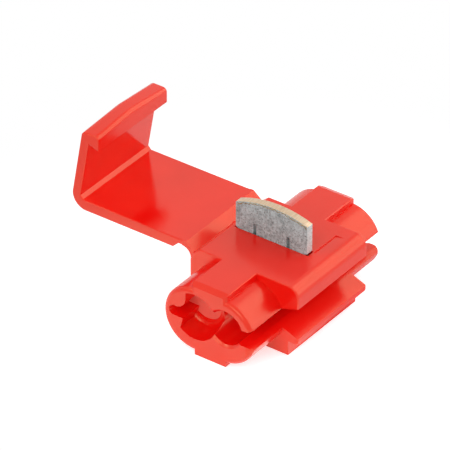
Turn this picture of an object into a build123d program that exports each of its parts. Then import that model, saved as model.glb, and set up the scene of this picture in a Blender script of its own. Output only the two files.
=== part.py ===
from build123d import *
from math import cos, radians, tan
import os

os.makedirs("parts", exist_ok=True)

# Millimetres. X runs across the two wires, from the open cover on the left to the side where the run wire
# is pushed in. Y runs along the wires and Z is up. The sections below are drawn with X = 0 midway between
# the two wires, and the finished pieces are then moved so that X = 0 is the middle of the open part.

# Wire channels
wire_pitch = 3.65
wire_height = 4.03
run_bore_radius = 1.72
run_lead_in = 0.25
tap_bore_radius = 1.4

# Central block of the housing
block_half_length = 5.3
block_top = 7.5
block_left = -5.4
block_right = 6.45
block_corner_radius = 1.15
block_base_radius = 0.8
edge_radius = 0.12

# Tubes that stand out at both ends of the block
tube_half_length = 10.0
tube_radius = 3.26
tube_axis_height = 3.6
tube_pitch = 3.27
tube_end_radius = 0.42

# Flat rib on top of the tubes and pad below them
rib_left = -1.88
rib_right = 1.94
rib_end_bevel = 0.6
rib_end_drop = 0.28
rib_corner_bevel = 0.3
pad_left = -1.45
pad_right = 1.95

# Side mouth where the run wire is pushed in, and the latch lip below it
mouth_height = 3.85
mouth_gap = 1.64
mouth_flare_x = 4.2
mouth_flare_up = 17.5
mouth_flare_down = 21.0
foot_right = 5.35
lip_underside = 1.48
lip_corner_radius = 0.3
lower_jaw_corner_radius = 0.9

# Shallow ejector mark on the block's top, behind the contact
mark_left = 4.15
mark_right = 5.1
mark_start = 0.3
mark_end = 3.75
mark_depth = 0.1

# Funnel recess in each tube end, which leads the tap wire in at the back and is closed by a stop at the front
funnel_x = -1.43
funnel_radius = 2.38
funnel_depth = 2.3
funnel_floor_x = -1.75
funnel_floor_radius = 2.2
funnel_floor_round = 0.42
well_radius = 1.66
stop_depth = 2.52
stop_wall = 0.9
relief_left = -4.25
relief_height = 3.86
relief_gap = 1.04
tongue_x = -3.58
tongue_height = 5.5
tongue_radius = 1.12
nib_tip_x = -2.75
nib_undercut = 0.28
nib_foot_height = 2.3

# Contact plate and its slot
contact_width = 7.84
contact_thickness = 0.8
contact_left_height = 10.22
contact_crown_height = 11.08
contact_crown_x = 0.5
contact_right_height = 10.47
contact_foot_height = 6.3
contact_shoulder_height = 7.6
contact_leg_inset = 0.4
contact_travel = 3.6
wire_slot_width = 0.34
wire_slot_height = 8.45
wire_slot_mouth = 1.3
wire_slot_mouth_height = 0.98
leg_bevel = 0.3
slot_side_clearance = 0.04
slot_end_clearance = 0.12
slot_floor_clearance = 0.2

# Cover and its latch wall
cover_half_length = 5.2
plate_top = 7.66
plate_thickness = 1.1
plate_inner_left = -17.87
wall_thickness = 0.9
wall_lean = 10.0
crease_bevel = 0.35
cover_corner_radius = 1.5
barb_root_height = 13.88
barb_tip_height = 13.52
barb_tip_x = -15.65
wall_end_height = 15.0
gable_rise = 0.38
wall_edge_radius = 0.5
barb_edge_radius = 0.45

# Living hinge
web_radius = 1.0
web_centre_x = -6.38
web_centre_height = 6.15
groove_x = -5.05
groove_height = 6.92
plate_edge_x = -5.97
block_edge_x = -4.32
web_relief_x = -7.41
web_relief_run = 0.6
hinge_x = -5.1
hinge_height = 7.62

# Length by which a cutting shape runs past the surface that it cuts
overshoot = 1.0

run_x = wire_pitch / 2
tap_x = -wire_pitch / 2


def along_wires(section, half_length):
    """A section across the wires, made solid by the same length to the front and to the back."""
    return extrude(Plane.XZ * section, amount=half_length, both=True)


def stub(section, start, end):
    """A section made solid between two distances from the middle, at the front end of the wires."""
    return extrude(Plane.XZ.offset(start) * section, amount=end - start)


def both_ends(piece):
    """A piece at the front end and its mirror image at the back."""
    return piece + mirror(piece, about=Plane.XZ)


def disc(x, height, radius):
    return Pos(x, height) * Circle(radius)


def rectangle(left, right, low, high):
    return Pos((left + right) / 2, (low + high) / 2) * Rectangle(right - left, high - low)


def nearest(section, x, height):
    """The corner of a section that is nearest to a point."""
    return section.vertices().sort_by_distance((x, height, 0))[0]


def block():
    """The block over the contact, with a round upper right edge and a bevel down to the hinge groove."""
    outline = Polyline(
        (block_left, 0),
        (foot_right, 0),
        (foot_right, lip_underside),
        (block_right, lip_underside),
        (block_right, block_top),
        (block_edge_x, block_top),
        (groove_x, groove_height),
        (block_left, web_centre_height),
        close=True,
    )
    section = make_face(outline)
    section = fillet(nearest(section, block_right, block_top), block_corner_radius)
    section = fillet(nearest(section, block_right, lip_underside), lip_corner_radius)
    section = fillet(nearest(section, block_left, 0), block_base_radius)
    body = along_wires(section, block_half_length)
    return fillet(body.faces().filter_by(Axis.Y).edges(), edge_radius)


def tubes():
    """The two tube stubs, one long round shape round both wires, with rounded ends."""
    section = Pos(0, tube_axis_height) * SlotCenterToCenter(tube_pitch, 2 * tube_radius)
    body = along_wires(section, tube_half_length)
    ends = body.faces().filter_by(Axis.Y).edges()
    return fillet(ends, tube_end_radius)


def rib():
    """The flat rib on top, level with the block, bevelled where it meets the tube ends."""
    outline = Polyline(
        (-tube_half_length, tube_axis_height),
        (tube_half_length, tube_axis_height),
        (tube_half_length, block_top - rib_end_drop),
        (tube_half_length - rib_end_bevel, block_top),
        (rib_end_bevel - tube_half_length, block_top),
        (-tube_half_length, block_top - rib_end_drop),
        close=True,
    )
    body = extrude(Plane.YZ.offset(rib_left) * make_face(outline), amount=rib_right - rib_left)
    body = chamfer(body.edges().filter_by(Axis.Z), rib_corner_bevel)
    top = body.faces().sort_by(Axis.Z)[-1]
    return fillet(top.edges().filter_by(Axis.Y), edge_radius)


def pad():
    """The low pad under the tubes, which stands on the same plane as the block."""
    return along_wires(rectangle(pad_left, pad_right, 0, tube_axis_height), tube_half_length)


def run_channel():
    """The through channel of the run wire, open to the right through a mouth that flares outwards."""
    low = mouth_height - mouth_gap / 2
    high = mouth_height + mouth_gap / 2
    reach = block_right + overshoot - mouth_flare_x
    mouth = make_face(
        Polyline(
            (run_x, low),
            (mouth_flare_x, low),
            (mouth_flare_x + reach, low - reach * tan(radians(mouth_flare_down))),
            (mouth_flare_x + reach, high + reach * tan(radians(mouth_flare_up))),
            (mouth_flare_x, high),
            (run_x, high),
            close=True,
        )
    )
    return along_wires(disc(run_x, wire_height, run_bore_radius) + mouth, tube_half_length + overshoot)


def funnel():
    """The recess in the front tube end, with its relief slit, the tongue above it and the nib below it."""
    bottom = tube_half_length - funnel_depth
    outer = Plane.XZ.offset(tube_half_length) * disc(funnel_x, wire_height, funnel_radius)
    inner = Plane.XZ.offset(bottom) * disc(funnel_floor_x, wire_height, funnel_floor_radius)
    bowl = loft([outer, inner])
    bowl = fillet(bowl.faces().sort_by(Axis.Y)[-1].edges(), funnel_floor_round)
    floor = tube_half_length - stop_depth
    well = stub(disc(tap_x, wire_height, well_radius), floor, bottom + funnel_floor_round)
    tongue = disc(tongue_x, tongue_height, tongue_radius)
    tongue += rectangle(tongue_x - tongue_radius, tongue_x + tongue_radius, tongue_height, block_top)
    relief_low = relief_height - relief_gap / 2
    nib = make_face(
        Polyline(
            (relief_left, relief_low),
            (nib_tip_x, relief_low),
            (nib_tip_x - nib_undercut, nib_foot_height),
            (relief_left, nib_foot_height),
            close=True,
        )
    )
    kept = stub(tongue + nib, floor, tube_half_length + overshoot)
    slit = rectangle(relief_left + relief_gap / 2, funnel_x, relief_low, relief_low + relief_gap)
    slit += disc(relief_left + relief_gap / 2, relief_height, relief_gap / 2)
    return bowl + well - kept + stub(slit, floor, tube_half_length)


def run_lead():
    """The lead-in at the front end of the run channel."""
    rim = Plane.XZ.offset(tube_half_length - run_lead_in) * disc(run_x, wire_height, run_bore_radius)
    return extrude(rim, amount=2 * run_lead_in, taper=-45)


def jaw_corner():
    """What is left outside the round corner, seen from above, of the lower jaw at its front end."""
    inner_x = tube_pitch / 2 + tube_radius - lower_jaw_corner_radius
    inner_y = tube_half_length - lower_jaw_corner_radius
    reach = lower_jaw_corner_radius + overshoot
    corner = Pos(inner_x + reach / 2, -inner_y - reach / 2) * Rectangle(reach, reach)
    corner -= Pos(inner_x, -inner_y) * Circle(lower_jaw_corner_radius)
    return extrude(corner, amount=mouth_height)


def tap_bore():
    """The blind bore of the tap wire, closed at the front by the stop wall, and its free way in at the back."""
    front = tube_half_length - stop_depth - stop_wall
    back = tube_half_length - stop_depth
    bore = Plane.XZ.offset(-back) * disc(tap_x, wire_height, tap_bore_radius)
    entry = Plane.XZ.offset(-tube_half_length - overshoot) * disc(tap_x, wire_height, well_radius)
    return extrude(bore, amount=back + front) + extrude(entry, amount=stop_depth + overshoot)


def contact_slot():
    """The slot from the block's top through both channels, as long and thick as the contact plus clearance."""
    length = contact_width + 2 * slot_end_clearance
    width = contact_thickness + 2 * slot_side_clearance
    floor = contact_foot_height - contact_travel - slot_floor_clearance
    height = block_top + overshoot - floor
    return Pos(0, 0, floor + height / 2) * Box(length, width, height)


def ejector_mark():
    """The shallow wedge-shaped mark, deepest along its left edge."""
    outline = Polyline(
        (mark_left, block_top - mark_depth),
        (mark_right, block_top),
        (mark_left, block_top + overshoot),
        close=True,
    )
    return extrude(Plane.XZ.offset(-mark_end) * make_face(outline), amount=mark_end - mark_start)


def housing():
    """The wire housing: block, tube stubs, top rib and pad, with the channels, funnels and slot cut out."""
    body = block() + tubes() + rib() + pad()
    body -= run_channel()
    body -= both_ends(run_lead() + jaw_corner())
    body -= both_ends(funnel())
    body -= tap_bore()
    body -= contact_slot()
    body -= ejector_mark()
    return body


def contact():
    """The stamped contact: one plate with a crowned, sheared top edge and two wire slots between its legs."""
    half = contact_width / 2
    leg = half - contact_leg_inset
    with BuildSketch() as plate:
        with BuildLine():
            Polyline(
                (-half, contact_left_height),
                (-half, contact_shoulder_height),
                (-leg, contact_shoulder_height - contact_leg_inset / 2),
                (-leg, contact_foot_height + leg_bevel),
                (leg_bevel - leg, contact_foot_height),
                (leg - leg_bevel, contact_foot_height),
                (leg, contact_foot_height + leg_bevel),
                (leg, contact_shoulder_height - contact_leg_inset / 2),
                (half, contact_shoulder_height),
                (half, contact_right_height),
            )
            ThreePointArc(
                (half, contact_right_height),
                (contact_crown_x, contact_crown_height),
                (-half, contact_left_height),
            )
        make_face()
        for x in (tap_x, run_x):
            with Locations((x, (contact_foot_height + wire_slot_height) / 2)):
                SlotOverall(
                    wire_slot_height - contact_foot_height + wire_slot_width,
                    wire_slot_width,
                    rotation=90,
                    mode=Mode.SUBTRACT,
                )
            with BuildLine():
                Polyline(
                    (x - wire_slot_mouth / 2, contact_foot_height),
                    (x, contact_foot_height + wire_slot_mouth_height),
                    (x + wire_slot_mouth / 2, contact_foot_height),
                    close=True,
                )
            make_face(mode=Mode.SUBTRACT)
    return along_wires(plate.sketch, contact_thickness / 2)


def hinge_web():
    """The living hinge: the thin band between the plate's edge, the groove and the block's left wall."""
    section = make_face(
        Polyline(
            (web_centre_x, plate_top),
            (plate_edge_x, plate_top),
            (groove_x, groove_height),
            (block_left, web_centre_height),
            (web_centre_x, web_centre_height),
            close=True,
        )
    )
    section -= disc(web_centre_x, web_centre_height, web_radius)
    return along_wires(section, cover_half_length)


def cover():
    """The cover: a flat plate, a latch wall that leans inwards and a barb along its upper edge."""
    lean = tan(radians(wall_lean))
    low = plate_top - plate_thickness
    outer_left = plate_inner_left - wall_thickness / cos(radians(wall_lean)) - plate_thickness * lean

    def wall_x(height):
        return plate_inner_left + (height - plate_top) * lean

    web_floor = web_centre_height + web_radius
    top = wall_end_height + gable_rise
    outline = Polyline(
        (web_centre_x, plate_top),
        (web_centre_x, web_floor),
        (web_relief_x + web_relief_run, web_floor),
        (web_relief_x, low),
        (outer_left, low),
        (outer_left + (top - low) * lean, top),
        (barb_tip_x, top),
        (barb_tip_x, barb_tip_height),
        (wall_x(barb_root_height), barb_root_height),
        (plate_inner_left, plate_top),
        close=True,
    )
    section = make_face(outline)
    section = fillet(nearest(section, outer_left, low), cover_corner_radius)
    section = chamfer(nearest(section, plate_inner_left, plate_top), crease_bevel)
    body = along_wires(section, cover_half_length)
    past = cover_half_length + overshoot
    slope = Polyline(
        (0, top),
        (past, top - gable_rise * past / cover_half_length),
        (past, top + overshoot),
        (0, top + overshoot),
        close=True,
    )
    wedge = extrude(Plane.YZ.offset(outer_left) * make_face(slope), amount=barb_tip_x + overshoot - outer_left)
    body -= both_ends(wedge)
    crest = body.edges().filter_by_position(Axis.Z, wall_end_height, top)
    crest = crest.filter_by(lambda edge: edge.length > cover_half_length / 2).sort_by(Axis.X)
    body = fillet(crest[:2], wall_edge_radius)
    crest = body.edges().filter_by_position(Axis.Z, wall_end_height, top)
    crest = crest.filter_by(lambda edge: edge.length > cover_half_length / 2).sort_by(Axis.X)
    body = fillet(crest[-2:], barb_edge_radius)
    round_ends = body.faces().filter_by(Axis.Y).edges().sort_by(Axis.X)[:-2]
    return fillet(round_ends, edge_radius)


pieces = {
    "housing": housing(),
    "contact": contact(),
    "hinge_web": hinge_web(),
    "cover": cover(),
}
whole = Compound(children=[Part() + piece for piece in pieces.values()]).bounding_box()
middle = (whole.min.X + whole.max.X) / 2
print(f"open part {whole.size.X:.2f} x {whole.size.Y:.2f} x {whole.size.Z:.2f} mm, moved by {-middle:.3f}")
print(f"hinge axis at X {hinge_x - middle:.3f}, Z {hinge_height:.3f}")
for name, piece in pieces.items():
    export_step(Pos(-middle, 0, 0) * piece, f"parts/{name}.step")
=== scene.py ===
# %% [markdown]
# # A wire tap connector, dressed
#
# This small connector joins one wire to another without cutting the first. It is one red polypropylene
# moulding, a housing with a fold-over cover on a living hinge, and one slotted metal contact that stands
# ready in the housing's slot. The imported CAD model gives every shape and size. This script adds what the
# eye reads as real: soft moulded edges, a glossy plastic skin, dull tin plating and a freshly sheared brass
# edge.

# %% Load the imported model
import math

import bmesh
import bpy
from mathutils import Matrix, Vector


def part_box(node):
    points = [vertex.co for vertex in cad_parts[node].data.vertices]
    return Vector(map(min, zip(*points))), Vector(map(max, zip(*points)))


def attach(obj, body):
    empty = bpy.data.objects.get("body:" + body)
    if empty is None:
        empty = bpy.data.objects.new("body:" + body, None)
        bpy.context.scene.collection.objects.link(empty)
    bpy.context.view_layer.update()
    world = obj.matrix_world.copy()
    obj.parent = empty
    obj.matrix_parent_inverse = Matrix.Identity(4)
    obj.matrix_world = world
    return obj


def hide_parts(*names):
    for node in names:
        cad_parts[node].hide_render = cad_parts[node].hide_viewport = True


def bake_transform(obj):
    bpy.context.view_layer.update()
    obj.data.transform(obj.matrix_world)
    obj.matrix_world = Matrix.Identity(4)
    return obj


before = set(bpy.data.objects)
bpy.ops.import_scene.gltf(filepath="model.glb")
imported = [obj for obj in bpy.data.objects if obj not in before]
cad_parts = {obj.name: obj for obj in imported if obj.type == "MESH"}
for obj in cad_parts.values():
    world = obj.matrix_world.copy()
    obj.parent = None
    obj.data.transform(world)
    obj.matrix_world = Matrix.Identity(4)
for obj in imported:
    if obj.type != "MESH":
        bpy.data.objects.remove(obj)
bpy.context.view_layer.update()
MM = 0.001


# %% [markdown]
# ## Colours
#
# A given colour is an sRGB value, but Blender's shaders work in linear light. One function turns a hex
# value into the linear colour, so that every material below can name its colours the way a designer would.
# Typing linear numbers by hand is the other way, and it is hard to read.


# %% Colours from hex
def linear(hex_colour):
    """The linear colour, with alpha 1, of an sRGB value such as "C81E14"."""
    channels = [int(hex_colour[i : i + 2], 16) / 255 for i in (0, 2, 4)]
    return [c / 12.92 if c <= 0.04045 else ((c + 0.055) / 1.055) ** 2.4 for c in channels] + [1.0]


print("a strong red in linear light:", [round(c, 3) for c in linear("F6130D")])


# %% [markdown]
# ## Adding shader nodes
#
# Each material is a small network of nodes. Written out in full, a node takes four or five lines, so one
# helper adds a node, sets its values and links its inputs. A link is given as another node's output. Most
# inputs go by their names. Where a node has several inputs of one name, they go by number, such as _0 for
# the first. That keeps each material as short as a recipe, and there is no special function for any one
# kind of node.


# %% One helper that adds a node
def add(tree, kind, settings=None, **inputs):
    """Adds a node to a tree. Settings are its properties, and inputs are values or outputs to link."""
    node = tree.nodes.new(kind)
    for name, value in (settings or {}).items():
        setattr(node, name, value)
    for name, value in inputs.items():
        numbered = name[1:].isdigit()
        socket = node.inputs[int(name[1:]) if numbered else name.replace("_", " ")]
        if isinstance(value, bpy.types.NodeSocket):
            tree.links.new(value, socket)
        else:
            socket.default_value = value
    return node


def new_material(name):
    """An empty node material, its tree and the output node."""
    material = bpy.data.materials.new(name)
    material.use_nodes = True
    tree = material.node_tree
    tree.nodes.clear()
    return material, tree, tree.nodes.new("ShaderNodeOutputMaterial")


print("helpers ready:", add.__name__, "and", new_material.__name__)

# %% [markdown]
# ## Red moulded polypropylene
#
# The moulding is injection-moulded polypropylene, pigmented a strong red, and it left a polished steel
# mould. Three things make it look so. Its skin mirrors the white surroundings softly. The pigment keeps
# green and blue out, so light that bounces inside a corner turns a deeper red. And light travels a little
# way below the surface, which takes the hardness out of shadows. An image of plastic could be wrapped round
# the part, but noise in real millimetres needs no unwrapping and stays sharp at any distance. The pigment
# comes first: clouds about 4 mm across, lighter or darker by a few percent only.

# %% Clouds of pigment
PIGMENT_CLOUD = 4 * MM


def pigment_clouds(tree, place, dark, light):
    """The colour of the plastic, in soft clouds between a darker and a lighter red."""
    clouds = add(tree, "ShaderNodeTexNoise", Vector=place, Scale=1 / PIGMENT_CLOUD, Detail=3.0)
    colour = add(tree, "ShaderNodeValToRGB", Fac=clouds.outputs["Fac"])
    colour.color_ramp.elements[0].position = 0.3
    colour.color_ramp.elements[0].color = linear(dark)
    colour.color_ramp.elements[1].position = 0.7
    colour.color_ramp.elements[1].color = linear(light)
    return colour.outputs["Color"]


print("the pigment's clouds are", round(PIGMENT_CLOUD / MM, 1), "mm across")

# %% [markdown]
# Gloss is the opposite of roughness. It changes a little along the way that the plastic ran in the mould,
# which is along the wires, so the noise for it is drawn out in that direction. The cover's part of the
# mould was also polished brighter than the housing's, and the change lies at the hinge. One roughness for
# all of it would be simpler, but the inside of the cover mirrors its own wall more sharply than the housing
# mirrors anything.

# %% Gloss with flow marks
FLOW_MARK = 1.5 * MM
HINGE_SIDE, HOUSING_SIDE = -0.5 * MM, 1.0 * MM


def moulded_gloss(tree, place, roughness):
    """The roughness of the skin, with flow marks along the wires and a duller housing."""
    drawn_out = add(tree, "ShaderNodeMapping", Vector=place, Scale=(1.0, 0.25, 1.0))
    flow = add(
        tree,
        "ShaderNodeTexNoise",
        Vector=drawn_out.outputs[0],
        Scale=1 / FLOW_MARK,
        Detail=1.0,
    )
    marks = add(
        tree,
        "ShaderNodeMapRange",
        Value=flow.outputs["Fac"],
        From_Min=0.3,
        From_Max=0.7,
        To_Min=roughness,
        To_Max=roughness + 0.05,
    )
    across = add(tree, "ShaderNodeSeparateXYZ", Vector=place)
    duller = add(
        tree,
        "ShaderNodeMapRange",
        Value=across.outputs["X"],
        From_Min=HINGE_SIDE,
        From_Max=HOUSING_SIDE,
        To_Min=0.0,
        To_Max=0.08,
    )
    both = add(
        tree,
        "ShaderNodeMath",
        {"operation": "ADD"},
        _0=marks.outputs[0],
        _1=duller.outputs[0],
    )
    return both.outputs[0]


print("flow marks are", round(FLOW_MARK / MM, 1), "mm wide and four times as long")

# %% [markdown]
# The last layer is orange peel, a faint waviness some microns deep that even a polished mould leaves. A
# bump tilts the light for it without changing the shape, which is enough for waves so shallow. Then the
# skin is put together. The same recipe, with more roughness, a deeper relief and a paler red, makes the
# face that spark erosion left inside the front funnel. Part of that paler red is painted light.

# %% The moulding's material
PEEL_WAVE = 0.5 * MM


def moulded_polypropylene(name, dark, light, roughness, peel_depth):
    """Red polypropylene with a faint orange peel, and slow changes of gloss and of pigment."""
    material, tree, output = new_material(name)
    place = add(tree, "ShaderNodeTexCoord").outputs["Object"]
    peel = add(tree, "ShaderNodeTexNoise", Vector=place, Scale=1 / PEEL_WAVE, Detail=2.0)
    relief = add(
        tree,
        "ShaderNodeBump",
        Strength=0.12,
        Distance=peel_depth,
        Height=peel.outputs["Fac"],
    )

    # Plain polypropylene has an IOR of 1.49. A little more gives the strong gloss of this moulding.
    skin = add(
        tree,
        "ShaderNodeBsdfPrincipled",
        Base_Color=pigment_clouds(tree, place, dark, light),
        Roughness=moulded_gloss(tree, place, roughness),
        IOR=1.59,
        Specular_Tint=(1.0, 0.95, 0.55, 1.0),
        Subsurface_Weight=0.3,
        Subsurface_Radius=(1.0, 0.12, 0.08),
        Subsurface_Scale=0.8 * MM,
        Normal=relief.outputs[0],
    )
    tree.links.new(skin.outputs[0], output.inputs["Surface"])
    return material


plastic = moulded_polypropylene(
    "moulded_polypropylene_red", "F00F0A", "F6130D", roughness=0.12, peel_depth=0.01 * MM
)
# The stop face's paler red is partly real and partly painted light, for a deep face that lies in shade.
eroded_with_painted_light = moulded_polypropylene(
    "eroded_polypropylene_red_painted_light", "FF6A5C", "FF7E70", roughness=0.5, peel_depth=0.08 * MM
)
print("made", plastic.name, "and", eroded_with_painted_light.name, "with", len(plastic.node_tree.nodes), "nodes each")


# %% [markdown]
# ## Tin-plated brass
#
# The contact is blanked from brass strip that was plated with tin before blanking. Plain tin goes dull and
# grey, with a mottled crystal pattern a few tenths of a millimetre across. Here its grey is tinted
# blue-green to cancel the red light that the moulding throws onto it, and that tint is painted against
# light, not the tin's own colour. The strip's own edge is tin too, and its brighter tin is painted light,
# for the side of the strip that the lamps light. Only what the punch cut shows the brass, burnished where
# the metal sheared and darker where it tore. One material could hold all of it through masks, but materials
# on their own faces stay sharp at the corners, so one function makes both tins and another makes both
# brasses.

# %% Crystals and specks of the tin
CRYSTAL = 0.25 * MM
TIN_CLOUD = 0.8 * MM
SPECK = 0.14 * MM


def crystal_mottle(tree, place):
    """A pattern between 0 and 1: crystals, seen through softer clouds."""
    crystals = add(tree, "ShaderNodeTexVoronoi", Vector=place, Scale=1 / CRYSTAL, Randomness=1.0)
    clouds = add(
        tree,
        "ShaderNodeTexNoise",
        Vector=place,
        Scale=1 / TIN_CLOUD,
        Detail=5.0,
        Roughness=0.62,
    )
    mottle = add(
        tree,
        "ShaderNodeMix",
        {"data_type": "FLOAT"},
        Factor=0.25,
        A=clouds.outputs["Fac"],
        B=crystals.outputs["Distance"],
    )
    return mottle.outputs["Result"]


def rubbed_specks(tree, place):
    """A mask for small specks: 0.7 where a noise is high, and 0 beside it."""
    rubbing = add(tree, "ShaderNodeTexNoise", Vector=place, Scale=1 / SPECK, Detail=2.0)
    specks = add(tree, "ShaderNodeValToRGB", Fac=rubbing.outputs["Fac"])
    specks.color_ramp.elements[0].position = 0.58
    specks.color_ramp.elements[0].color = (0.0, 0.0, 0.0, 1.0)
    specks.color_ramp.elements[1].position = 0.64
    specks.color_ramp.elements[1].color = (0.7, 0.7, 0.7, 1.0)
    return specks.outputs["Color"]


print("crystals are", round(CRYSTAL / MM, 2), "mm across and specks", round(SPECK / MM, 2), "mm")

# %% [markdown]
# The mottle picks a grey between two colours, the specks are mixed over it, and the mottle gives a slight
# relief as well. Tin is a metal, so its metallic value would be 1 when it is new. This skin has gone so
# dull that it scatters light like a grey paint, which a value near 0 shows better.


# %% The tin on the contact
def tin_plating(name, dark, light, speck):
    """Dull tin: a grey skin, mottled by its crystals, with darker specks."""
    material, tree, output = new_material(name)
    place = add(tree, "ShaderNodeTexCoord").outputs["Object"]
    mottle = crystal_mottle(tree, place)
    colour = add(tree, "ShaderNodeValToRGB", Fac=mottle)
    colour.color_ramp.elements[0].position = 0.32
    colour.color_ramp.elements[0].color = linear(dark)
    colour.color_ramp.elements[1].position = 0.62
    colour.color_ramp.elements[1].color = linear(light)

    # Inputs 6 and 7 of the Mix node are its two colours, and output 2 is the mixed one.
    specked = add(
        tree,
        "ShaderNodeMix",
        {"data_type": "RGBA"},
        _0=rubbed_specks(tree, place),
        _6=colour.outputs["Color"],
        _7=linear(speck),
    )
    relief = add(tree, "ShaderNodeBump", Strength=0.3, Distance=0.02 * MM, Height=mottle)
    metal = add(
        tree,
        "ShaderNodeBsdfPrincipled",
        Base_Color=specked.outputs[2],
        Metallic=0.1,
        Roughness=0.5,
        Normal=relief.outputs[0],
    )
    tree.links.new(metal.outputs[0], output.inputs["Surface"])
    return material


# The blue-green tint of both greys is painted against light: it cancels the red light that the moulding
# throws onto the contact.
tin = tin_plating("tin_plating_matte", dark="7C9696", light="BAD5D5", speck="5F6460")
# The edge's brighter tin is painted light, for the side of the strip that the lamps light.
painted_light_tin = tin_plating("tin_plating_edge_painted_light", dark="BCC6C4", light="DDE4E2", speck="A8A294")
print("made", tin.name, "and", painted_light_tin.name)

# %% [markdown]
# A punch leaves fine marks on what it cuts. They all run the way that it moved, through the thickness of
# the strip, so the noise for them is drawn out in that direction. The torn brass is the same metal in
# darker colours.

# %% The bare brass on the contact
PUNCH_MARK = 0.12 * MM


def bare_brass(name, dark, light):
    """Bare brass as a punch leaves it, with fine marks that run through the thickness."""
    material, tree, output = new_material(name)
    place = add(tree, "ShaderNodeTexCoord").outputs["Object"]
    drawn_out = add(tree, "ShaderNodeMapping", Vector=place, Scale=(1.0, 0.08, 1.0))
    marks = add(
        tree,
        "ShaderNodeTexNoise",
        Vector=drawn_out.outputs[0],
        Scale=1 / PUNCH_MARK,
        Detail=3.0,
    )
    colour = add(tree, "ShaderNodeValToRGB", Fac=marks.outputs["Fac"])
    colour.color_ramp.elements[0].position = 0.35
    colour.color_ramp.elements[0].color = linear(dark)
    colour.color_ramp.elements[1].position = 0.65
    colour.color_ramp.elements[1].color = linear(light)
    relief = add(
        tree,
        "ShaderNodeBump",
        Strength=0.5,
        Distance=0.02 * MM,
        Height=marks.outputs["Fac"],
    )
    metal = add(
        tree,
        "ShaderNodeBsdfPrincipled",
        Base_Color=colour.outputs["Color"],
        Metallic=1.0,
        Roughness=0.38,
        Normal=relief.outputs[0],
    )
    tree.links.new(metal.outputs[0], output.inputs["Surface"])
    return material


sheared = bare_brass("sheared_brass", dark="CBAE8E", light="DEC6AA")
torn = bare_brass("torn_brass", dark="7A6A38", light="B59C5A")
print("made", sheared.name, "and", torn.name)


# %% [markdown]
# ## Working copies of the solids
#
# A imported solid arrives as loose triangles, so a copy of it first gets its doubled points merged. That is
# quick in BMesh, Blender's mesh editing module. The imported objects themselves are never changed, because
# the checks and the poses rely on them. Modifiers then do their work on the copy, and a second helper makes
# their result a plain mesh.

# %% Copy and bake
DOUBLED_POINTS = 0.001 * MM


def working_copy(node, name):
    """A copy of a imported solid, as a new object, with its doubled points merged."""
    mesh = bpy.data.meshes.new(name)
    shape = bmesh.new()
    shape.from_mesh(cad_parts[node].data)
    bmesh.ops.remove_doubles(shape, verts=shape.verts, dist=DOUBLED_POINTS)
    shape.to_mesh(mesh)
    shape.free()
    copy = bpy.data.objects.new(name, mesh)
    bpy.context.scene.collection.objects.link(copy)
    return copy


def bake(piece):
    """Replaces a piece's mesh by what its modifiers make of it, and drops the modifiers."""
    graph = bpy.context.evaluated_depsgraph_get()
    finished = bpy.data.meshes.new_from_object(piece.evaluated_get(graph))
    piece.modifiers.clear()
    piece.data = finished


print("points nearer than", round(DOUBLED_POINTS / MM, 3), "mm to each other are merged")

# %% [markdown]
# ## Soft edges
#
# Once the triangles of each flat face are joined again, the edges that are left are the real ones. The
# Bevel modifier rounds those that turn by more than an angle, and Weighted Normal keeps the large faces
# flat to the eye. Fillets in the CAD model would be the other way, and would make it heavy for something
# that only the light shows.

# %% Flat faces and soft edges
DOUBLED_AFTER_JOINING = 0.002 * MM
SAME_PLANE = math.radians(0.5)
REAL_EDGE = math.radians(28)


def merge_flats(piece):
    """Joins triangles that lie in one plane, so that only real edges are left to round."""
    shape = bmesh.new()
    shape.from_mesh(piece.data)
    bmesh.ops.remove_doubles(shape, verts=shape.verts, dist=DOUBLED_AFTER_JOINING)
    bmesh.ops.dissolve_limit(shape, angle_limit=SAME_PLANE, verts=shape.verts, edges=shape.edges)
    shape.to_mesh(piece.data)
    shape.free()


def round_edges(piece, width):
    """Rounds every real edge by a width, and keeps the flat faces flat to the eye."""
    for polygon in piece.data.polygons:
        polygon.use_smooth = True
    bevel = piece.modifiers.new("soft edges", "BEVEL")
    bevel.width = width
    bevel.segments = 2
    bevel.limit_method = "ANGLE"
    bevel.angle_limit = REAL_EDGE
    normals = piece.modifiers.new("flat faces", "WEIGHTED_NORMAL")
    normals.weight = 100
    normals.keep_sharp = True
    bake(piece)


print("edges sharper than", round(math.degrees(REAL_EDGE)), "degrees get rounded")

# %% [markdown]
# ## The moulding
#
# Housing, hinge web and cover left the mould as one piece. In the CAD model they are three solids, because
# the cover turns. Here their copies are united with the Boolean modifier into one skin with no seam at the
# hinge. Then the Bevel modifier rounds every edge by under a tenth of a millimetre. Real mould edges are
# never sharp, and that narrow round catches the light as the thin bright lines that make plastic look
# moulded.

# %% One moulding from three solids
BESIDE_GROOVE = 0.01 * MM
INTO_THE_BLOCK = Vector((0.03, 0, -0.03)) * MM
MOULDED_ROUND = 0.08 * MM

moulding = working_copy("housing", "moulding")
for node in ("hinge_web", "cover"):
    other = working_copy(node, "joined_" + node)
    if node == "hinge_web":
        # The web only touches the block along its groove, so its edge there is pushed a little way in.
        groove = max(v.co.x for v in other.data.vertices)
        for vertex in other.data.vertices:
            if vertex.co.x > groove - BESIDE_GROOVE:
                vertex.co += INTO_THE_BLOCK
    union = moulding.modifiers.new("join " + node, "BOOLEAN")
    union.operation = "UNION"
    union.solver = "EXACT"
    union.object = other
    bake(moulding)
    bpy.data.objects.remove(other)
merge_flats(moulding)
round_edges(moulding, MOULDED_ROUND)
print("moulding:", len(moulding.data.vertices), "points,", len(moulding.data.polygons), "faces")

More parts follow.
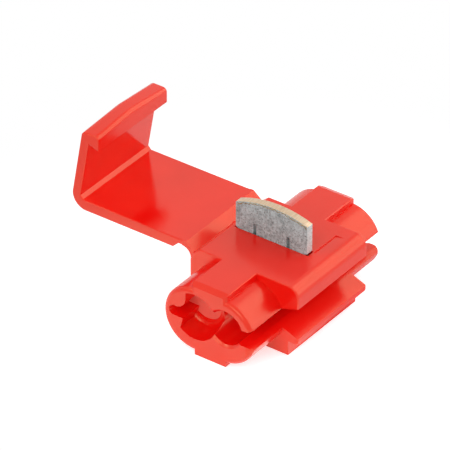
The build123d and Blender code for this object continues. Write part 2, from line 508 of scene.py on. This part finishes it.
# %% [markdown]
# The stop face, at the end of the front funnel, was shaped in the mould by spark erosion, so it is matt and
# a little paler. Its red is made paler still as painted light, which brightens a deep face that lies in
# shade. A face belongs to it when it looks to the front and lies near the stop's middle. Painting the face
# by hand would be the other way, and would have to be done again after every change of the CAD model.

# %% Two finishes on one moulding
STOP_MIDDLE = Vector((4.295, -7.48, 4.03)) * MM
STOP_RADIUS = 1.7 * MM
STOP_DEPTH = 0.05 * MM
LOOKS_FRONT = -0.9
GLOSSY_SLOT, MATT_SLOT = range(2)

moulding.data.materials.clear()
for finish in (plastic, eroded_with_painted_light):
    moulding.data.materials.append(finish)
for polygon in moulding.data.polygons:
    offset = polygon.center - STOP_MIDDLE
    near_stop = abs(offset.y) < STOP_DEPTH and offset.length < STOP_RADIUS
    on_stop = near_stop and polygon.normal.y < LOOKS_FRONT
    polygon.material_index = MATT_SLOT if on_stop else GLOSSY_SLOT
matt_faces = [p for p in moulding.data.polygons if p.material_index == MATT_SLOT]
print(len(matt_faces), "of the moulding's faces lie on the stop")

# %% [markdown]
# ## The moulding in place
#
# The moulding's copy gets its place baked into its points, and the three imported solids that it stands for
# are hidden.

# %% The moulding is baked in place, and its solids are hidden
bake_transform(moulding)
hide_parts("housing", "hinge_web", "cover")

# %% [markdown]
# ## The contact
#
# The contact is a flat blank, so its shape is already right in the CAD model. A copy gets its cut edges
# rounded by a few hundredths of a millimetre. Then each face gets its finish by the way it faces: the two
# broad faces are dull tin, the strip's own edges above the housing get a brighter tin that is painted
# light, the walls of the wire slots above the housing get the dull tin as painted shade, and the rest is
# cut brass.

# %% The contact with its finishes
BLANKED_ROUND = 0.03 * MM
AT_THE_SIDE = 0.1 * MM
LOOKS_THAT_WAY = 0.8
DULL_AND_PAINTED_SHADE_SLOT, PAINTED_LIGHT_SLOT, CUT_SLOT = range(3)

blade = working_copy("contact", "contact_blade")
merge_flats(blade)
round_edges(blade, BLANKED_ROUND)
blade.data.materials.clear()
for finish in (tin, painted_light_tin, sheared):
    blade.data.materials.append(finish)
left_side = min(v.co.x for v in blade.data.vertices)
right_side = max(v.co.x for v in blade.data.vertices)
housing_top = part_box("housing")[1].z
for polygon in blade.data.polygons:
    if abs(polygon.normal.y) > LOOKS_THAT_WAY:
        polygon.material_index = DULL_AND_PAINTED_SHADE_SLOT
    # Near the strip's sides, the brighter tin on faces that look sideways is painted light.
    elif abs(polygon.normal.x) > LOOKS_THAT_WAY and polygon.center.z > housing_top:
        to_side = min(polygon.center.x - left_side, right_side - polygon.center.x)
        # On the walls of the wire slots the dull tin is painted shade, for the shade inside the narrow
        # slots.
        polygon.material_index = PAINTED_LIGHT_SLOT if to_side < AT_THE_SIDE else DULL_AND_PAINTED_SHADE_SLOT
    else:
        polygon.material_index = CUT_SLOT
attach(blade, "contact")
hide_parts("contact")
cut_faces = [polygon for polygon in blade.data.polygons if polygon.material_index == CUT_SLOT]
print("contact:", len(cut_faces), "cut faces of", len(blade.data.polygons))

# %% [markdown]
# ## The burr on the sheared edge
#
# Shearing leaves a torn, darker line where the cut breaks through, along the front of the crowned top edge.
# It follows an arc, so Geometry Nodes can make it: an arc through three points, shaken downwards at random,
# and swept into a thin bead whose thickness wanders too. The three points are named inputs, measured on the
# contact. The bead lies mostly inside the metal, so that the pressed contact still clears its slot. Drawing
# the line into a picture would be the other way, and would need an unwrapped surface.

# %% The burr's node tree and its inputs
torn_burr = bpy.data.node_groups.new("torn_burr", "GeometryNodeTree")
socket_types = {
    "Geometry": "NodeSocketGeometry",
    "Start": "NodeSocketVector",
    "Crown": "NodeSocketVector",
    "End": "NodeSocketVector",
    "Bead Radius": "NodeSocketFloat",
    "Sway": "NodeSocketFloat",
    "Seed": "NodeSocketInt",
    "Material": "NodeSocketMaterial",
}
for name, kind in socket_types.items():
    torn_burr.interface.new_socket(name, in_out="INPUT", socket_type=kind)
torn_burr.interface.new_socket("Geometry", in_out="OUTPUT", socket_type="NodeSocketGeometry")
given = torn_burr.nodes.new("NodeGroupInput").outputs
print("the burr's inputs:", ", ".join(socket_types))

# %% [markdown]
# The line comes first. The arc is cut into even steps, and each of its points is pushed down by its own
# random share of the sway. The seed is an input with a fixed value, so the burr is the same on every run.

# %% The torn line
POINTS_ALONG = 44

arc = add(
    torn_burr,
    "GeometryNodeCurveArc",
    {"mode": "POINTS"},
    Resolution=96,
    Connect_Center=False,
    Start=given["Start"],
    Middle=given["Crown"],
    End=given["End"],
)
line = add(
    torn_burr,
    "GeometryNodeResampleCurve",
    Curve=arc.outputs["Curve"],
    Count=POINTS_ALONG,
)

# Inputs 2 and 3 of Random Value are the ends of its range of numbers, and output 1 is the number.
step = add(torn_burr, "GeometryNodeInputIndex")
shake = add(
    torn_burr,
    "FunctionNodeRandomValue",
    {"data_type": "FLOAT"},
    _2=-1.0,
    _3=0.0,
    ID=step.outputs[0],
    Seed=given["Seed"],
)
height = add(
    torn_burr,
    "ShaderNodeMath",
    {"operation": "MULTIPLY"},
    _0=shake.outputs[1],
    _1=given["Sway"],
)
lowered = add(torn_burr, "ShaderNodeCombineXYZ", Z=height.outputs[0])
torn_line = add(
    torn_burr,
    "GeometryNodeSetPosition",
    Geometry=line.outputs["Curve"],
    Offset=lowered.outputs[0],
)
print("the torn line has", POINTS_ALONG, "points")

# %% [markdown]
# A six-sided profile is swept along that line. A burr is never even, so a noise makes the bead between two
# thirds of its radius and all of it. The tree ends in Realize Instances and Set Material, because an export
# leaves instances out, and a mesh made by nodes has no material of its own.

# %% The bead along the torn line
THICKNESS_WAVE = 0.25 * MM

wander = add(torn_burr, "ShaderNodeTexNoise", Scale=1 / THICKNESS_WAVE, Detail=3.0)
share = add(
    torn_burr,
    "ShaderNodeMapRange",
    Value=wander.outputs["Fac"],
    From_Min=0.35,
    From_Max=0.65,
    To_Min=0.65,
    To_Max=1.0,
)
radius = add(
    torn_burr,
    "ShaderNodeMath",
    {"operation": "MULTIPLY"},
    _0=share.outputs[0],
    _1=given["Bead Radius"],
)
profile = add(torn_burr, "GeometryNodeCurvePrimitiveCircle", Resolution=6, Radius=1.0)
swept = add(
    torn_burr,
    "GeometryNodeCurveToMesh",
    Curve=torn_line.outputs[0],
    Profile_Curve=profile.outputs["Curve"],
    Scale=radius.outputs[0],
    Fill_Caps=True,
)
real = add(torn_burr, "GeometryNodeRealizeInstances", Geometry=swept.outputs[0])
finished = add(
    torn_burr,
    "GeometryNodeSetMaterial",
    Geometry=real.outputs[0],
    Material=given["Material"],
)
add(torn_burr, "NodeGroupOutput", Geometry=finished.outputs[0])
print("node tree", torn_burr.name, "with", len(torn_burr.nodes), "nodes")

# %% [markdown]
# A modifier on an empty mesh puts the tree to work. Its values are set by each socket's identifier, before
# anything is evaluated. The result is then made a plain mesh, and the modifier goes.

# %% The burr on the contact
ON_FRONT = 0.01 * MM
SHOULDER_HEIGHT = 10.2 * MM
INTO_THE_METAL = Vector((0, 0.042, -0.06)) * MM
SHORT_OF_SIDE = Vector((0.08, 0, 0)) * MM

# The arc is where the contact's front face ends at the top, above its shoulders.
points = [v.co.copy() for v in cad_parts["contact"].data.vertices]
front = min(p.y for p in points)
on_arc = [p for p in points if p.y < front + ON_FRONT and p.z > SHOULDER_HEIGHT]
on_arc.sort(key=lambda p: p.x)
crown = max(on_arc, key=lambda p: p.z)
values = {
    "Start": on_arc[0] + INTO_THE_METAL + SHORT_OF_SIDE,
    "Crown": crown + INTO_THE_METAL,
    "End": on_arc[-1] + INTO_THE_METAL - SHORT_OF_SIDE,
    "Bead Radius": 0.075 * MM,
    "Sway": 0.2 * MM,
    "Seed": 7,
    "Material": torn,
}
burr = bpy.data.objects.new("contact_burr", bpy.data.meshes.new("contact_burr"))
bpy.context.scene.collection.objects.link(burr)
maker = burr.modifiers.new("burr", "NODES")
maker.node_group = torn_burr
for item in torn_burr.interface.items_tree:
    if item.in_out == "INPUT" and item.name in values:
        maker[item.identifier] = values[item.name]
bake(burr)
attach(burr, "contact")
print("burr:", len(burr.data.vertices), "points,", len(burr.data.polygons), "faces")

# %% [markdown]
# ## The floor
#
# The connector stands in a white light tent, so white is what its gloss mirrors. A disc of matte white
# floor takes the soft shadow. A picture with a transparent background would be the other way, and would
# lose that shadow.

# %% The floor disc
FLOOR_RADIUS = 200 * MM
FLOOR_DROP = 0.01 * MM

floor_mesh = bpy.data.meshes.new("floor")
disc = bmesh.new()
bmesh.ops.create_circle(disc, cap_ends=True, segments=96, radius=FLOOR_RADIUS)
disc.to_mesh(floor_mesh)
disc.free()
floor = bpy.data.objects.new("floor", floor_mesh)
bpy.context.scene.collection.objects.link(floor)
floor.location.z = -FLOOR_DROP
print("floor disc", round(2 * FLOOR_RADIUS / MM), "mm across")

# %% [markdown]
# The rim of a disc would show against the white world. So its paint is a mix of two shaders, matte white
# near the part and clear further out, and the mix follows the distance from a point under the housing.

# %% Matte white that fades out
UNDER_HOUSING = (6 * MM, 0, 0)
FADE_FROM, FADE_TO = 12 * MM, 36 * MM

paint, tree, output = new_material("matte_white_floor")
place = add(tree, "ShaderNodeTexCoord").outputs["Object"]
distance = add(
    tree,
    "ShaderNodeVectorMath",
    {"operation": "DISTANCE"},
    _0=place,
    _1=UNDER_HOUSING,
)
fade = add(
    tree,
    "ShaderNodeMapRange",
    {"interpolation_type": "SMOOTHSTEP"},
    Value=distance.outputs["Value"],
    From_Min=FADE_FROM,
    From_Max=FADE_TO,
    To_Min=0.0,
    To_Max=1.0,
)
matte = add(tree, "ShaderNodeBsdfDiffuse", Color=(0.98, 0.98, 0.98, 1.0), Roughness=0.0)
clear = add(tree, "ShaderNodeBsdfTransparent")
print("the floor fades out from", round(FADE_FROM / MM), "to", round(FADE_TO / MM), "mm from the housing")

# %% [markdown]
# The Light Path node tells what kind of ray arrives. The floor glows a little for the camera, so that only
# a faint shadow is left of a red object on white. It also glows in reflections, as the floor of a lit tent
# does, in front of the part and hardly at all behind it. That fall behind the part is painted shade, where
# the part shades the floor. Neither glow lights the object. A white paint alone would stay grey under the
# part, unless more light fell on everything.

# %% The floor's glow
WHITE = (1.0, 1.0, 1.0, 1.0)
CAMERA_GLOW = 0.62
GLOW_FROM, GLOW_TO = -6 * MM, 4 * MM

rays = add(tree, "ShaderNodeLightPath")
along = add(tree, "ShaderNodeSeparateXYZ", Vector=place)
# Less glow behind the part is painted shade in the floor's reflection, where the part shades the floor.
front_to_back = add(
    tree,
    "ShaderNodeMapRange",
    {"interpolation_type": "SMOOTHSTEP"},
    Value=along.outputs["Y"],
    From_Min=GLOW_FROM,
    From_Max=GLOW_TO,
    To_Min=0.95,
    To_Max=0.05,
)
mirrored = add(
    tree,
    "ShaderNodeMath",
    {"operation": "MULTIPLY"},
    _0=rays.outputs["Is Glossy Ray"],
    _1=front_to_back.outputs["Result"],
)
strength = add(
    tree,
    "ShaderNodeMath",
    {"operation": "MULTIPLY_ADD"},
    _0=rays.outputs["Is Camera Ray"],
    _1=CAMERA_GLOW,
    _2=mirrored.outputs[0],
)
glow = add(tree, "ShaderNodeEmission", Color=WHITE, Strength=strength.outputs[0])
lit = add(tree, "ShaderNodeAddShader", _0=matte.outputs[0], _1=glow.outputs[0])
surface = add(
    tree,
    "ShaderNodeMixShader",
    _0=fade.outputs["Result"],
    _1=lit.outputs[0],
    _2=clear.outputs[0],
)
tree.links.new(surface.outputs[0], output.inputs["Surface"])
floor_mesh.materials.append(paint)
print("floor paint", paint.name, "with", len(tree.nodes), "nodes")

# %% [markdown]
# ## The white surroundings
#
# The world is pure white to the camera and to reflections, and weaker where it lights the object, so a
# colour renders about as it is written. One plain white world would be simpler, but it would wash out the
# red.

# %% The world
LIGHTING_STRENGTH = 0.6

world = bpy.data.worlds.new("light_tent")
world.use_nodes = True
bpy.context.scene.world = world
tree = world.node_tree
tree.nodes.clear()
rays = add(tree, "ShaderNodeLightPath")
seen_or_mirrored = add(
    tree,
    "ShaderNodeMath",
    {"operation": "MAXIMUM"},
    _0=rays.outputs["Is Camera Ray"],
    _1=rays.outputs["Is Glossy Ray"],
)
seen = add(
    tree,
    "ShaderNodeMath",
    {"operation": "MAXIMUM"},
    _0=seen_or_mirrored.outputs[0],
    _1=rays.outputs["Is Transmission Ray"],
)
lighting = add(tree, "ShaderNodeBackground", Color=WHITE, Strength=LIGHTING_STRENGTH)
white = add(tree, "ShaderNodeBackground", Color=WHITE, Strength=1.0)
both = add(
    tree,
    "ShaderNodeMixShader",
    _0=seen.outputs[0],
    _1=lighting.outputs[0],
    _2=white.outputs[0],
)
add(tree, "ShaderNodeOutputWorld", Surface=both.outputs[0])
print("world:", world.name, "lights the part with", LIGHTING_STRENGTH, "of white")

# %% [markdown]
# ## Lamps
#
# Three soft lamps do what the world alone can't. The front key lights the ends of the tubes and the front
# of the block. The box behind on the right is wide, and shows as the broad, bright reflection on the round
# of the block and on the sides that face right. The small card on the front left only puts a light into the
# chamfers between top and front. Small hard lamps would draw shadows that a tent never shows.

# %% Soft lamps
LAMPS_AIM = Vector((0, 0, 6)) * MM


def soft_lamp(name, position, size, power):
    """A square area lamp, its position and size in millimetres, turned to the middle of the part."""
    light = bpy.data.lights.new(name, "AREA")
    light.size = size * MM
    light.energy = power
    lamp = bpy.data.objects.new(name, light)
    lamp.location = Vector(position) * MM
    lamp.rotation_euler = (LAMPS_AIM - lamp.location).to_track_quat("-Z", "Y").to_euler()
    bpy.context.scene.collection.objects.link(lamp)


soft_lamp("front_key", position=(40, -190, 150), size=150, power=0.13)
soft_lamp("back_right_box", position=(112, 134, 100), size=215, power=0.18)
soft_lamp("front_left_card", position=(-117, -133, 166), size=70, power=0.05)

# %% [markdown]
# ## The camera
#
# The view is a long lens's, from the front right, about 34 degrees above the part. A long lens keeps the
# parallel edges of the tubes nearly parallel in the picture. The camera looks straight at one point of the
# part, with no shift, from the distance that this lens needs.

# %% A long lens from the front right
AZIMUTH, ELEVATION = math.radians(36.07), math.radians(33.76)
TARGET = Vector((0.24, 0.66, 6.33)) * MM
DISTANCE = 468.5 * MM
FOCAL_LENGTH = 416.0
SENSOR_WIDTH = 36.0

back = Vector(
    (
        math.sin(AZIMUTH) * math.cos(ELEVATION),
        -math.cos(AZIMUTH) * math.cos(ELEVATION),
        math.sin(ELEVATION),
    )
)
right = Vector((math.cos(AZIMUTH), math.sin(AZIMUTH), 0))
up = back.cross(right)
lens = bpy.data.cameras.new("camera")
lens.lens = FOCAL_LENGTH
lens.sensor_width = SENSOR_WIDTH
lens.clip_start = 10 * MM
camera = bpy.data.objects.new("camera", lens)
turned = Matrix((right, up, back)).transposed().to_4x4()
camera.matrix_world = Matrix.Translation(TARGET + back * DISTANCE) @ turned
bpy.context.scene.collection.objects.link(camera)
bpy.context.scene.camera = camera
bpy.context.scene.view_settings.view_transform = "Standard"
print("camera", round(DISTANCE / MM), "mm away with a", round(FOCAL_LENGTH), "mm lens")
